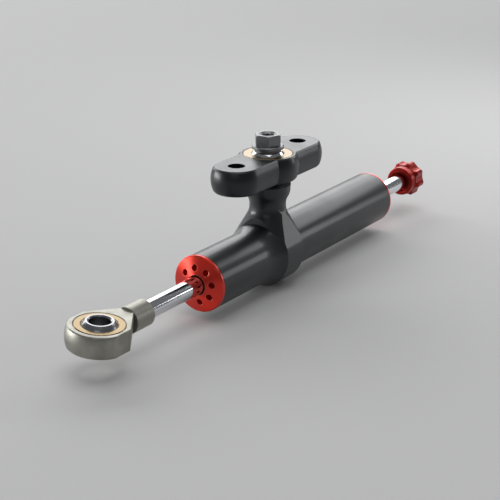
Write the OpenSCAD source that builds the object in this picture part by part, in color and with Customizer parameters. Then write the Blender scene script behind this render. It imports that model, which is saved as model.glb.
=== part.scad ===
// Steering damper: an oil-filled tube with a rod right through it, a spherical rod end on the front of the
// rod, a damping adjuster knob on its rear, and a post with a two-hole flange that swivels on a ball.
// The origin is the centre of the flange's mounting face. +X runs from the rod end to the knob, +Z is up.

/* [Damper body] */
// Length of the tube between the rims of the end caps
tube_length = 163; // [160:1:175]
// Outside diameter of the tube
tube_d = 28; // [27:0.5:29]
// Bore of the tube
tube_bore = 22; // [21.5:0.5:23]
// Bevel on the outer edges of the tube's ends
tube_bevel = 0.4; // [0.2:0.1:0.6]
// From the swivel axis forward to the front end of the tube
front_reach = 59; // [50:1:70]
// Outside diameter of the collar under the post
collar_d = 34; // [33:0.5:36]
// Length of the straight part of the collar
collar_length = 15; // [12:0.5:17]
// Radius of the hollow flare that leads up to the front of the collar
flare_r = 30; // [20:1:40]
// Bevel on the rear edge of the collar
collar_bevel = 0.6; // [0.4:0.1:1]

/* [Post] */
// Height of the mounting face above the axis of the tube
axis_drop = 50; // [49:0.5:56]
// Diameter of the post at its waist
post_d = 18.2; // [17.4:0.2:19]
// Diameter of the cup at its upper edge
cup_d = 23; // [22.4:0.2:24]
// Diameter of the cup where its side starts to curve in
cup_root_d = 22.6; // [21.6:0.2:22.8]
// Height of the cup's side above that curve
cup_height = 2.5; // [1.5:0.1:2.5]
// Height of the curve from the waist out to the cup
cup_curve = 7.5; // [6:0.1:7.5]
// Room between the cup and the flange, for the flange to tilt
cup_room = 3; // [2:0.1:3.4]
// Slope of the turned foot from upright, in degrees
foot_cone = 30; // [28:0.5:32]
// Slope of the flats that are milled on the foot's flanks, in degrees
foot_flat = 24; // [23:0.5:25]
// Distance from the swivel axis to the upright flat that is milled on the foot's front
foot_front = 10.4; // [10:0.1:11.4]
// Radius of the hollow between the foot and the waist
foot_hollow_r = 8; // [5:0.5:8]

/* [Mounting flange] */
// Distance between the two bolt holes
hole_spacing = 56; // [50:1:62]
// Diameter of the bolt holes
hole_d = 8.4; // [6.4:0.1:9]
// Thickness of the flange
flange_t = 12.5; // [12:0.5:13.5]
// Width of the flange at its faces, which is also the diameter of its ends
flange_w = 22; // [20:0.5:24]
// Diameter at the faces of the round boss in the middle
boss_d = 28.2; // [27.6:0.2:31]
// How far the side walls bulge out at mid-height
wall_bulge = 1.5; // [0.8:0.1:1.8]
// Bevel on the edges of the two faces
flange_bevel = 0.4; // [0.2:0.1:0.5]
// Thickness of the lip that the race sits on
race_lip = 1.5; // [1:0.1:2]
// Opening in that lip
lip_bore = 22; // [20:0.5:23]

/* [Swivel bearing] */
// Outside diameter of the flange's race
mount_race_d = 25; // [24:0.2:25.6]
// Diameter of the ball in the flange
mount_ball_d = 20.5; // [20:0.1:21]
// Length of that ball between its end faces
mount_ball_w = 15; // [14.6:0.1:16]
// Diameter of the seat on the post under the ball
seat_d = 13.8; // [13:0.2:14.6]
// Diameter of the bolt's thread
bolt_d = 8; // [6:1:8]
// Length of bolt screwed into the post
bolt_grip = 14; // [10:0.5:15]
// Hexagon of the bolt head across its flats
bolt_hex = 12; // [11.5:0.5:13]
// Height of the hexagon above the collar
bolt_hex_h = 5.6; // [4.8:0.2:7]
// Turn of the hexagon as it was tightened, in degrees
bolt_turn = 36; // [0:1:60]
// Diameter of the collar on the bolt head
bolt_collar_d = 15.8; // [15.6:0.2:17]
// Thickness of that collar
bolt_collar_t = 1.6; // [1.2:0.1:2.2]
// Bevel on the upper edge of that collar
bolt_collar_bevel = 0.5; // [0.3:0.1:0.7]
// Hexagon socket in the bolt head across its flats
bolt_socket = 6; // [5:0.5:6.5]
// Depth of the socket
bolt_socket_depth = 4.4; // [3:0.2:4.6]
// Diameter of the dish round that socket
bolt_dish_d = 9; // [8:0.1:9.6]
// Depth of the dish
bolt_dish_depth = 1.2; // [0.8:0.1:1.6]
// Diameter of the washer under the bolt head
washer_d = 13.4; // [12.6:0.2:15]
// Thickness of that washer
washer_t = 1.4; // [1:0.1:2]

/* [End caps] */
// Width of the rim that shows at the end of the tube
cap_rim = 1; // [0.8:0.1:1.5]
// Bevel on the rim
rim_bevel = 0.6; // [0.3:0.1:0.8]
// Height of the coned face above the rim
cap_nose = 2.8; // [2:0.1:3.2]
// Mouth in the face round the rod
mouth_d = 10.2; // [10:0.1:11]
// Thickness of the cap's face round that mouth
mouth_lip = 1.2; // [1:0.1:1.6]
// Number of pin-spanner holes in the face
spanner_holes = 8; // [6:1:10]
// Circle that the pin-spanner holes lie on
spanner_pcd = 16.8; // [16.6:0.1:17.6]
// Diameter of a pin-spanner hole
spanner_d = 3.2; // [2.4:0.1:3.4]
// Depth of a pin-spanner hole below the rim
spanner_depth = 1.2; // [0.8:0.1:1.6]
// Turn of the ring of holes, in degrees
spanner_turn = 9; // [0:1:45]
// Outside diameter of the guide bush and the wiper
bush_d = 12.4; // [11.6:0.1:12.6]
// Width of the wiper
wiper_w = 2.6; // [2:0.1:3]
// Outside diameter of the rod seal
seal_d = 15; // [14:0.2:15.6]
// Width of the rod seal
seal_w = 4.5; // [3.5:0.1:5]
// Outside diameter of the snap ring behind the seal
snap_d = 16.4; // [16:0.1:17]
// Inside diameter of that snap ring
snap_bore = 12.4; // [12:0.1:13]
// Metal between the snap ring and the end of the cap
snap_edge = 0.8; // [0.8:0.1:1.2]
// Thickness of the cap's sealing ring
seal_ring_d = 1.8; // [1.6:0.1:2]
// Depth of the sealing ring's groove inside the tube
seal_ring_depth = 3; // [2.5:0.1:4]

/* [Rod and piston] */
// Diameter of the rod
rod_d = 9; // [8.6:0.1:9.2]
// Bore of the rod for the adjuster
rod_bore = 4; // [3.8:0.1:4.2]
// Length of rod that shows between the rod end and the front cap
front_show = 40.5; // [36:0.5:44]
// Length of rod that shows between the rear cap and the knob
rear_show = 34.2; // [30:0.2:38]
// Length of rod that still shows at the ends of the stroke
end_show = 0.5; // [0.4:0.1:2]
// Length of the piston
piston_length = 17; // [15:0.5:19]
// Width of the piston's bearing ring
ring_w = 8; // [6:0.5:9]
// Thickness of that ring
ring_t = 1.5; // [1.2:0.1:1.8]
// Split in that ring
ring_split = 1; // [0.6:0.1:1.4]
// Thickness of the piston clips and the snap rings
clip_t = 1; // [0.8:0.1:1.2]
// Depth of the piston clips' grooves in the rod
clip_groove = 0.6; // [0.4:0.1:0.7]
// Outside diameter of a piston clip
clip_d = 13; // [12:0.2:14]
// Opening of the piston clips and the snap rings
clip_opening = 5; // [4:0.2:6]
// Distance of the oil ports from the ends of the piston
port_inset = 4; // [3:0.5:6]
// Diameter of an oil port
port_d = 1.8; // [1.4:0.1:2]

/* [Rod end] */
// Distance from the eye to the end of the shank
eye_reach = 32.6; // [31.4:0.2:36]
// Distance from the eye to the shoulder where the shank starts
shoulder_reach = 19.5; // [19:0.1:20]
// Width of the neck at that shoulder
neck_w = 7.4; // [6.6:0.1:7.4]
// Turn of the eye about the rod as it lies at rest, in degrees
eye_roll = 5.5; // [-15:0.5:15]
// Thickness of the head
head_t = 10.5; // [10:0.1:10.5]
// Diameter of the head at its faces
head_d = 28.4; // [28:0.1:29]
// Width of the head across its side flats
head_w = 26.7; // [26:0.1:26.8]
// Distance from the eye to the rear ends of those flats
flat_reach = 5; // [4.6:0.1:6]
// How far the rim of the head bulges out at mid-height
head_bulge = 0.95; // [0.6:0.05:1.2]
// Bevel on the edges of the head's faces
head_bevel = 0.3; // [0.2:0.05:0.5]
// Diameter of the shank
shank_d = 12.8; // [12.8:0.1:14]
// Bevel on the end of the shank
shank_bevel = 0.6; // [0.4:0.1:1.2]
// Diameter of the thread on the front of the rod
stud_d = 8; // [7:0.2:8.4]
// Length of that thread
stud_length = 11; // [9:0.5:11.5]
// Outside diameter of the eye's race
eye_race_d = 23.2; // [22.6:0.1:23.6]
// Bevel round the races that shows as a fine groove
race_bevel = 0.4; // [0.2:0.05:0.5]
// Mouth of that race round the ball
eye_mouth_d = 17.2; // [16.6:0.1:17.6]
// Diameter of the ball in the eye
eye_ball_d = 19; // [18.6:0.1:19.4]
// Length of that ball between its end faces
eye_ball_w = 14; // [13.4:0.1:14.4]
// Bore of that ball for the clamp bolt
eye_bore = 10; // [8:0.5:10]
// Bevel at the mouths of that bore
eye_bevel = 0.6; // [0.3:0.05:0.8]

/* [Adjuster knob] */
// Diameter of the hub's face
hub_d = 16; // [15.4:0.1:16]
// Diameter of the hub where it meets the grip
hub_root_d = 16.2; // [16:0.1:16.2]
// Length of the hub
hub_length = 4.8; // [3.5:0.1:5.5]
// Bevel on the hub's face
hub_bevel = 0.5; // [0.3:0.1:0.8]
// Diameter of the mouth in the hub
hub_mouth_d = 11.4; // [10.6:0.1:12]
// Depth of that mouth
hub_mouth_depth = 2.2; // [1.5:0.1:3]
// Length of the lobed grip
grip_length = 8.2; // [8:0.1:10]
// Diameter of the grip over its lobes
grip_d = 19.6; // [19.6:0.1:21]
// Number of lobes
lobes = 8; // [6:1:10]
// Depth of the scallops between the lobes
scallop_depth = 1.6; // [0.8:0.1:1.6]
// Radius of the scallops
scallop_r = 4; // [3:0.1:4.4]
// Turn of the lobes, in degrees
lobe_turn = 14.5; // [0:0.5:45]
// Bevel on the edges of the grip
grip_bevel = 1.2; // [0.4:0.1:1.4]
// Depth that the rod reaches into the knob
knob_depth = 9; // [8.6:0.1:9.4]
// Diameter of the detent plunger
plunger_d = 3; // [2.6:0.1:3]
// Diameter of the plunger's ball nose
nose_d = 2.2; // [1.8:0.1:2.2]
// How far the nose reaches into the groove round the rod
nose_reach = 0.4; // [0.3:0.05:0.5]
// Diameter of the retaining screw's head
screw_head_d = 6; // [5:0.2:7]
// Height of that head, which is the depth of its recess
screw_head_h = 2; // [1.6:0.1:2.2]
// Diameter of the retaining screw's thread
screw_d = 2; // [1.6:0.1:2]
// Length of the retaining screw's thread
screw_length = 7; // [5:0.5:9]
// Diameter of the needle's stub in the knob
stub_d = 3.2; // [3:0.1:3.4]
// Diameter of the needle's waist between the oil ports
needle_waist_d = 2; // [1.6:0.1:2.4]
// Thickness of the needle's sealing ring
needle_ring_d = 1.1; // [0.9:0.05:1.2]

/* [Fits] */
// Radial clearance of pieces that are pressed or screwed together
fit = 0.03; // [0.02:0.01:0.04]
// Radial clearance of pieces that turn or slide on each other
run = 0.05; // [0.04:0.01:0.08]
// Gap between moving faces
gap = 0.3; // [0.3:0.05:0.4]
// How deep milled flats sink into the round faces that they run out on
flat_sink = 0.05; // [0.05:0.05:0.2]

/* [Hidden] */

$fn = 96;
overrun = 1;
groove_ratio = 1.35;

black_anodised = "#232427";
red_anodised = "#b0161c";
hard_chrome = "#d9dcdf";
plated_steel = "#b9b7ae";
dark_steel = "#7d7e80";
bearing_bronze = "#c79a55";
seal_rubber = "#1d1d1e";
guide_polymer = "#e9e4d6";

// Radii that several pieces share
tube_r = tube_d / 2;
bore_r = tube_bore / 2;
collar_r = collar_d / 2;
post_r = post_d / 2;
rod_r = rod_d / 2;
rod_bore_r = rod_bore / 2;
bush_r = bush_d / 2;
seal_r = seal_d / 2;

// Places along the tube
cap_face = cap_rim + cap_nose;
tube_rear = tube_length - front_reach;
travel_in = front_show - end_show;
travel_out = rear_show - end_show;
cap_plug = (tube_length - piston_length - travel_in - travel_out) / 2;
piston_x = cap_plug + travel_out + piston_length / 2 - front_reach;
shank_end = -front_reach - cap_face - front_show;
eye_x = shank_end - eye_reach;
hub_x = tube_rear + cap_face + rear_show;
knob_length = hub_length + grip_length;
rod_rear = hub_x + knob_depth - gap;
plunger_x = hub_x + hub_length + (knob_depth - hub_length) / 2;
port_front = piston_x - piston_length / 2 - port_inset;
port_rear = piston_x + piston_length / 2 + port_inset;

// Heights of the tube and of the swivel
axis_z = -axis_drop;
swivel_z = -flange_t / 2;
seat_z = swivel_z - mount_ball_w / 2;
land_z = swivel_z + mount_ball_w / 2;
head_z = land_z + washer_t;
cup_top = -flange_t - cup_room;

// Places inside an end cap, measured outwards from the end of the tube
wiper_out = cap_face - mouth_lip;
wiper_in = wiper_out - wiper_w;
snap_in = snap_edge - cap_plug;
seal_in = snap_in + clip_t;
seal_out = seal_in + seal_w;

// Places a piece that lies along the tube, with its own Z pointing to the rear or to the front
module facing_rear(x) {
    translate([x, 0, axis_z]) rotate([0, 90, 0]) children();
}
module facing_front(x) {
    translate([x, 0, axis_z]) rotate([0, -90, 0]) children();
}
// Places a piece in the eye, with Z along the bore of its ball
module in_eye() {
    translate([eye_x, 0, axis_z]) rotate([eye_roll, 0, 0]) children();
}
// Draws a piece and its mirror image across the XY plane
module both_ways() {
    for (side = [0, 1]) mirror([0, 0, side]) children();
}
module ring(inner_r, outer_r, length) {
    rotate_extrude() translate([inner_r, 0]) square([outer_r - inner_r, length]);
}
module torus(centre_r, section_d) {
    rotate_extrude() translate([centre_r, 0]) circle(d = section_d);
}
// A ring with an opening, like a snap ring
module split_ring(inner_r, outer_r, length, opening) {
    difference() {
        ring(inner_r, outer_r, length);
        translate([0, -opening / 2, -overrun]) cube([outer_r + overrun, opening, length + 2 * overrun]);
    }
}
// Half the section of a wall that bulges out between two bevelled faces, from the centre line outwards
module bulged_half(half_w, height, bulge, bevel) {
    arc_r = (height * height / 4 + bulge * bulge) / (2 * bulge);
    face_w = half_w - bevel;
    widest = half_w + bulge;
    shoulder = height / 2 - (widest - face_w);
    intersection() {
        translate([widest - arc_r, 0]) circle(arc_r);
        polygon([
            [0, -height / 2],
            [face_w, -height / 2],
            [widest, -shoulder],
            [widest, shoulder],
            [face_w, height / 2],
            [0, height / 2]
        ]);
    }
}

// Damper body
// How far along a hollow of this radius rises from one radius to the next
function hollow_length(hollow_r, rise) = sqrt(hollow_r * hollow_r - (hollow_r - rise) * (hollow_r - rise));
// The tube, its collar, and the flare in front of the collar, turned about the axis of the rod
module body_profile() {
    flare_start = -collar_length / 2 - hollow_length(flare_r, collar_r - tube_r);
    polygon([
        [bore_r, -front_reach],
        [tube_r - tube_bevel, -front_reach],
        [tube_r, tube_bevel - front_reach],
        [tube_r, tube_rear - tube_bevel],
        [tube_r - tube_bevel, tube_rear],
        [bore_r, tube_rear]
    ]);
    difference() {
        polygon([
            [bore_r, flare_start],
            [collar_r, flare_start],
            [collar_r, collar_length / 2 - collar_bevel],
            [collar_r - collar_bevel, collar_length / 2],
            [bore_r, collar_length / 2]
        ]);
        translate([tube_r + flare_r, flare_start]) circle(flare_r);
    }
}
// The post's waist, cup and ball seat, turned about the swivel axis. Two equal arcs, one hollow and one
// round, lead from the waist out to the cup.
module post_profile() {
    cup_low = cup_top - cup_height;
    waist_top = cup_low - cup_curve;
    root_r = cup_root_d / 2;
    rise = root_r - post_r;
    arc_r = (cup_curve * cup_curve + rise * rise) / (4 * rise);
    translate([0, axis_z + bore_r]) square([post_r, cup_top - axis_z - bore_r]);
    difference() {
        translate([0, waist_top]) square([root_r, cup_curve / 2]);
        translate([post_r + arc_r, waist_top]) circle(arc_r);
    }
    intersection() {
        translate([0, cup_low - cup_curve / 2]) square([root_r, cup_curve / 2]);
        translate([root_r - arc_r, cup_low]) circle(arc_r);
    }
    polygon([
        [0, cup_low],
        [root_r, cup_low],
        [cup_d / 2, cup_top],
        [seat_d / 2, cup_top],
        [seat_d / 2, seat_z],
        [0, seat_z]
    ]);
}
// The foot of the post is a turned cone that a hollow joins to the waist. Flats on its flanks run down to the
// collar and end where they are tangent to it, and an upright flat on its front runs down to the flare. Its
// rear is level with the rear of the collar.
module foot() {
    flat_r = collar_r - flat_sink;
    low = flat_r * sin(foot_flat);
    knee = (flat_r - post_r * cos(foot_flat)) / sin(foot_flat);
    top = knee + foot_hollow_r * tan(foot_cone / 2);
    hollow_end = [post_r + foot_hollow_r * (1 - cos(foot_cone)), top - foot_hollow_r * sin(foot_cone)];
    cone_low = post_r + (knee - low) * tan(foot_cone);
    flat_low = flat_r * cos(foot_flat);
    flat_top = (flat_r - top * sin(foot_flat)) / cos(foot_flat);
    translate([0, 0, axis_z]) intersection() {
        rotate_extrude() difference() {
            polygon([[0, low], [cone_low, low], hollow_end, [post_r, top], [0, top]]);
            translate([post_r + foot_hollow_r, top]) circle(foot_hollow_r);
        }
        translate([-cone_low, 0, 0]) rotate([90, 0, 90]) linear_extrude(cone_low + collar_length / 2)
            polygon([[-flat_low, low], [flat_low, low], [flat_top, top], [-flat_top, top]]);
        rotate([90, 0, 0]) linear_extrude(2 * cone_low, center = true)
            polygon([[-foot_front, low], [cone_low, low], [cone_low, top], [-foot_front, top]]);
    }
}
module damper_body() {
    color(black_anodised) difference() {
        union() {
            facing_rear(0) rotate_extrude() body_profile();
            rotate_extrude() post_profile();
            foot();
        }
        facing_rear(-front_reach - overrun) cylinder(r = bore_r, h = tube_length + 2 * overrun);
        translate([0, 0, seat_z - bolt_grip - overrun])
            cylinder(d = bolt_d + 2 * fit, h = bolt_grip + 2 * overrun);
    }
}

// End caps and the glands in them, with Z pointing out of the tube
module end_cap() {
    plug_r = bore_r - fit;
    groove_w = seal_ring_d * groove_ratio;
    groove_r = bore_r - seal_ring_d;
    color(red_anodised) difference() {
        rotate_extrude() polygon([
            [seal_r, -cap_plug],
            [plug_r, -cap_plug],
            [plug_r, -seal_ring_depth - groove_w],
            [groove_r, -seal_ring_depth - groove_w],
            [groove_r, -seal_ring_depth],
            [plug_r, -seal_ring_depth],
            [plug_r, 0],
            [tube_r, 0],
            [tube_r, cap_rim],
            [tube_r - rim_bevel, cap_rim + rim_bevel],
            [mouth_d / 2, cap_face],
            [mouth_d / 2, wiper_out],
            [bush_r, wiper_out],
            [bush_r, seal_out],
            [seal_r, seal_out],
            [seal_r, seal_in],
            [snap_d / 2, seal_in],
            [snap_d / 2, snap_in],
            [seal_r, snap_in]
        ]);
        for (i = [0:spanner_holes - 1])
            rotate(spanner_turn + i * 360 / spanner_holes)
                translate([spanner_pcd / 2, 0, -spanner_depth])
                    cylinder(d = spanner_d, h = spanner_depth + cap_face);
    }
}
module guide_bush() {
    color(bearing_bronze) translate([0, 0, seal_out]) ring(rod_r + run, bush_r - fit, wiper_in - seal_out);
}
// The seal is a cup that opens towards the oil
module rod_seal() {
    inner_r = rod_r + run;
    outer_r = seal_r - fit;
    color(guide_polymer) rotate_extrude() polygon([
        [inner_r, seal_in + fit],
        [(inner_r + outer_r) / 2, seal_in + seal_w / 3],
        [outer_r, seal_in + fit],
        [outer_r, seal_out - fit],
        [inner_r, seal_out - fit]
    ]);
}
// The wiper's lip reaches out into the mouth of the cap
module wiper() {
    inner_r = rod_r + run;
    lip_r = mouth_d / 2 - fit;
    color(seal_rubber) rotate_extrude() polygon([
        [inner_r, wiper_in + fit],
        [bush_r - fit, wiper_in + fit],
        [bush_r - fit, wiper_out - fit],
        [lip_r, wiper_out - fit],
        [inner_r, cap_face - mouth_lip / 3]
    ]);
}
module snap_ring() {
    translate([0, 0, snap_in + fit])
        split_ring(snap_bore / 2, snap_d / 2 - fit, clip_t - 2 * fit, clip_opening);
}
module cap_ring() {
    color(seal_rubber) translate([0, 0, -seal_ring_depth - seal_ring_d * groove_ratio / 2])
        torus(bore_r - seal_ring_d / 2, seal_ring_d - 2 * fit);
}
module front_cap() {
    facing_front(-front_reach) end_cap();
}
module rear_cap() {
    facing_rear(tube_rear) end_cap();
}
module front_bush() {
    facing_front(-front_reach) guide_bush();
}
module rear_bush() {
    facing_rear(tube_rear) guide_bush();
}
module front_rod_seal() {
    facing_front(-front_reach) rod_seal();
}
module rear_rod_seal() {
    facing_rear(tube_rear) rod_seal();
}
module front_wiper() {
    facing_front(-front_reach) wiper();
}
module rear_wiper() {
    facing_rear(tube_rear) wiper();
}
module gland_clips() {
    color(dark_steel) {
        facing_front(-front_reach) snap_ring();
        facing_rear(tube_rear) snap_ring();
    }
}
module front_cap_ring() {
    facing_front(-front_reach) cap_ring();
}
module rear_cap_ring() {
    facing_rear(tube_rear) cap_ring();
}

// Rod and piston
// The piston's ends are recessed for the clips that hold it on the rod
clip_z = piston_length / 2 - clip_t - gap;
module piston() {
    color(hard_chrome) facing_rear(piston_x) difference() {
        translate([0, 0, -piston_length / 2]) ring(rod_r + run, bore_r - gap, piston_length);
        translate([0, 0, -ring_w / 2]) ring(bore_r - run - ring_t, bore_r + overrun, ring_w);
        both_ways() translate([0, 0, clip_z - run]) cylinder(d = clip_d + 2 * gap, h = piston_length);
    }
}
module piston_ring() {
    color(guide_polymer) facing_rear(piston_x) translate([0, 0, fit - ring_w / 2])
        split_ring(bore_r - run - ring_t + fit, bore_r - run, ring_w - 2 * fit, ring_split);
}
module piston_clips() {
    color(dark_steel) facing_rear(piston_x) both_ways() translate([0, 0, clip_z + fit])
        split_ring(rod_r - clip_groove + fit, clip_d / 2, clip_t - 2 * fit, clip_opening);
}
// The groove round the rod for the nose of the detent plunger, with a gap on every side of the nose
nose_groove = nose_reach + gap;
nose_chord = sqrt(nose_reach * (nose_d - nose_reach));
nose_groove_w = 2 * (nose_chord + gap);
module piston_rod() {
    bore_length = rod_rear - port_front + port_d + gap;
    color(hard_chrome) difference() {
        union() {
            facing_rear(shank_end) cylinder(r = rod_r, h = rod_rear - shank_end);
            facing_front(shank_end) cylinder(d = stud_d, h = stud_length);
        }
        facing_front(rod_rear + overrun) cylinder(r = rod_bore_r, h = bore_length + overrun);
        facing_rear(piston_x) both_ways() translate([0, 0, clip_z])
            ring(rod_r - clip_groove, rod_r + overrun, clip_t);
        facing_rear(plunger_x - nose_groove_w / 2) ring(rod_r - nose_groove, rod_r + overrun, nose_groove_w);
        for (x = [port_front, port_rear])
            translate([x, 0, axis_z]) cylinder(d = port_d, h = rod_d + overrun, center = true);
    }
}

// Rod end
// The head is a bulged ring with a flat on each side. Two flanks draw in from the flats to the neck, and the
// shank is round.
head_r = head_d / 2;
flank_turn = atan2(shoulder_reach - flat_reach, (head_w - neck_w) / 2);
flank_r = flat_reach * cos(flank_turn) + head_w / 2 * sin(flank_turn);
module rod_end() {
    color(plated_steel) in_eye() difference() {
        union() {
            head();
            translate([shoulder_reach, 0, 0]) rotate([0, 90, 0]) shank();
        }
        cylinder(d = eye_race_d + 2 * fit, h = 2 * head_t, center = true);
        both_ways() translate([0, 0, head_t / 2 - race_bevel])
            cylinder(d1 = eye_race_d, d2 = eye_race_d + 4 * race_bevel, h = 2 * race_bevel);
        translate([eye_reach - stud_length - overrun, 0, 0]) rotate([0, 90, 0])
            cylinder(d = stud_d + 2 * fit, h = stud_length + 2 * overrun);
    }
}
// The ring and a block behind it, cut by the flats and by the flanks, which run on to where they meet
module head() {
    tip = flank_r / cos(flank_turn);
    intersection() {
        union() {
            rotate_extrude() bulged_half(head_r, head_t, head_bulge, head_bevel);
            translate([0, -head_r, -head_t / 2]) cube([tip, head_d, head_t]);
        }
        inside_face(90, head_w / 2);
        inside_face(-90, head_w / 2);
        inside_face(flank_turn, flank_r);
        inside_face(-flank_turn, flank_r);
    }
}
// All that lies inside a bevelled upright face at this distance from the eye
module inside_face(turn, distance) {
    half = head_t / 2;
    bevel_end = distance - head_bevel - overrun;
    rotate(turn) rotate([90, 0, 0]) linear_extrude(4 * head_d, center = true) polygon([
        [-2 * head_d, -half - overrun],
        [bevel_end, -half - overrun],
        [distance, head_bevel - half],
        [distance, half - head_bevel],
        [bevel_end, half + overrun],
        [-2 * head_d, half + overrun]
    ]);
}
module shank() {
    straight = eye_reach - shoulder_reach - shank_bevel;
    cylinder(d = shank_d, h = straight);
    translate([0, 0, straight]) cylinder(d1 = shank_d, d2 = shank_d - 2 * shank_bevel, h = shank_bevel);
}
// The race's mouths are bevelled, so that a groove shows round the ball
module eye_race() {
    outer_r = eye_race_d / 2;
    half = head_t / 2;
    mouth_depth = (eye_mouth_d - sqrt(eye_ball_d * eye_ball_d - head_t * head_t)) / 2;
    color(bearing_bronze) in_eye() difference() {
        rotate_extrude() polygon([
            [0, -half],
            [outer_r - race_bevel, -half],
            [outer_r, race_bevel - half],
            [outer_r, half - race_bevel],
            [outer_r - race_bevel, half],
            [0, half]
        ]);
        sphere(d = eye_ball_d + 2 * run);
        both_ways() translate([0, 0, half - mouth_depth])
            cylinder(d1 = eye_mouth_d - 2 * mouth_depth, d2 = eye_mouth_d + 2 * overrun,
                h = mouth_depth + overrun);
    }
}
// A ball cut off flat at both ends
module flat_ball(ball_d, length) {
    intersection() {
        sphere(d = ball_d);
        cylinder(d = ball_d + overrun, h = length, center = true);
    }
}
module eye_ball() {
    bore_half = eye_bore / 2;
    color(hard_chrome) in_eye() difference() {
        flat_ball(eye_ball_d, eye_ball_w);
        cylinder(r = bore_half, h = eye_ball_d, center = true);
        both_ways() translate([0, 0, eye_ball_w / 2 - eye_bevel])
            cylinder(r1 = bore_half, r2 = bore_half + 2 * eye_bevel, h = 2 * eye_bevel);
    }
}

// Adjuster
// The needle lies in the bore of the rod. Its half-round tip turns across the front oil port.
needle_groove_r = rod_bore_r - needle_ring_d;
needle_groove_w = needle_ring_d * groove_ratio;
module adjuster_needle() {
    needle_r = rod_bore_r - run;
    tip_x = port_front - port_d;
    tip_length = 2 * port_d;
    waist_end = port_rear + port_d;
    stub_end = hub_x + knob_length - screw_head_h - fit;
    color(dark_steel) difference() {
        union() {
            facing_rear(tip_x) cylinder(r = needle_r, h = tip_length);
            facing_rear(tip_x) cylinder(d = needle_waist_d, h = waist_end - tip_x);
            facing_rear(waist_end) cylinder(r = needle_r, h = rod_rear - waist_end);
            facing_rear(waist_end) cylinder(d = stub_d, h = stub_end - waist_end);
        }
        translate([tip_x - overrun, -needle_r, axis_z]) cube([tip_length + overrun, 2 * needle_r, needle_r]);
        facing_rear(tube_rear - needle_groove_w / 2) ring(needle_groove_r, rod_bore_r, needle_groove_w);
        facing_front(stub_end + overrun) cylinder(d = screw_d + 2 * fit, h = screw_length + overrun);
    }
}
module needle_ring() {
    color(seal_rubber) facing_rear(tube_rear)
        torus(rod_bore_r - needle_ring_d / 2, needle_ring_d - 2 * fit);
}
// Outline of the grip: a disc with a ring of scallops cut from it
module grip_outline() {
    difference() {
        circle(d = grip_d);
        for (i = [0:lobes - 1])
            rotate(lobe_turn + (i + 0.5) * 360 / lobes)
                translate([grip_d / 2 - scallop_depth + scallop_r, 0]) circle(scallop_r);
    }
}
module grip() {
    grip_r = grip_d / 2;
    intersection() {
        linear_extrude(grip_length) grip_outline();
        rotate_extrude() polygon([
            [0, 0],
            [grip_r - grip_bevel, 0],
            [grip_r + overrun, grip_bevel + overrun],
            [grip_r + overrun, grip_length - grip_bevel - overrun],
            [grip_r - grip_bevel, grip_length],
            [0, grip_length]
        ]);
    }
}
// Turns a piece to point outwards along the middle of a scallop on the far side of the knob
module in_scallop() {
    rotate(lobe_turn + (floor(lobes / 4) + 0.5) * 360 / lobes) rotate([0, 90, 0]) children();
}
module knob() {
    color(red_anodised) facing_rear(hub_x) difference() {
        union() {
            rotate_extrude() polygon([
                [0, 0],
                [hub_d / 2 - hub_bevel, 0],
                [hub_d / 2, hub_bevel],
                [hub_root_d / 2, hub_length],
                [0, hub_length]
            ]);
            translate([0, 0, hub_length]) grip();
        }
        translate([0, 0, -overrun]) cylinder(d = hub_mouth_d, h = hub_mouth_depth + overrun);
        translate([0, 0, -overrun]) cylinder(r = rod_r + run, h = knob_depth + overrun);
        cylinder(d = stub_d + 2 * fit, h = knob_length);
        translate([0, 0, knob_length - screw_head_h])
            cylinder(d = screw_head_d + 2 * gap, h = screw_head_h + overrun);
        translate([0, 0, plunger_x - hub_x]) in_scallop() cylinder(d = plunger_d + 2 * fit, h = grip_d);
    }
}
// The plunger's nose stands in the groove round the rod, so that the knob turns but stays on
module detent_plunger() {
    nose_at = rod_r - nose_reach + nose_d / 2;
    color(dark_steel) facing_rear(plunger_x) in_scallop() {
        translate([0, 0, nose_at]) sphere(d = nose_d);
        translate([0, 0, nose_at]) cylinder(d = plunger_d, h = grip_d / 2 - scallop_depth - gap - nose_at);
    }
}
module knob_screw() {
    head_x = hub_x + knob_length - screw_head_h;
    color(dark_steel) {
        facing_rear(head_x) difference() {
            cylinder(d = screw_head_d, h = screw_head_h);
            translate([0, 0, screw_head_h / 2]) cylinder(d = screw_head_d / 2, h = screw_head_h, $fn = 6);
        }
        facing_front(head_x) cylinder(d = screw_d, h = screw_length);
    }
}

// Mounting flange and its swivel
module flange_wall(width) {
    bulged_half(width / 2, flange_t, wall_bulge, flange_bevel);
}
// The flange is a bar with round ends and a round boss, all with the same bulging wall
module mount_flange() {
    color(black_anodised) translate([0, 0, swivel_z]) difference() {
        union() {
            rotate([90, 0, 90]) linear_extrude(hole_spacing, center = true)
                for (side = [0, 1]) mirror([side, 0]) flange_wall(flange_w);
            for (side = [-1, 1]) translate([side * hole_spacing / 2, 0, 0])
                rotate(-side * 90) rotate_extrude(angle = 180) flange_wall(flange_w);
            rotate_extrude() flange_wall(boss_d);
        }
        for (side = [-1, 1]) translate([side * hole_spacing / 2, 0, 0])
            cylinder(d = hole_d, h = flange_t + overrun, center = true);
        translate([0, 0, race_lip - flange_t / 2]) cylinder(d = mount_race_d + 2 * fit, h = flange_t);
        cylinder(d = lip_bore, h = flange_t + overrun, center = true);
    }
}
module mount_race() {
    outer_r = mount_race_d / 2;
    low = race_lip - flange_t;
    color(bearing_bronze) difference() {
        rotate_extrude() polygon([
            [0, low],
            [outer_r, low],
            [outer_r, -race_bevel],
            [outer_r - race_bevel, 0],
            [0, 0]
        ]);
        translate([0, 0, swivel_z]) sphere(d = mount_ball_d + 2 * run);
    }
}
module mount_ball() {
    color(hard_chrome) translate([0, 0, swivel_z]) difference() {
        flat_ball(mount_ball_d, mount_ball_w);
        cylinder(d = bolt_d + 2 * fit, h = mount_ball_d, center = true);
    }
}
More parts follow.
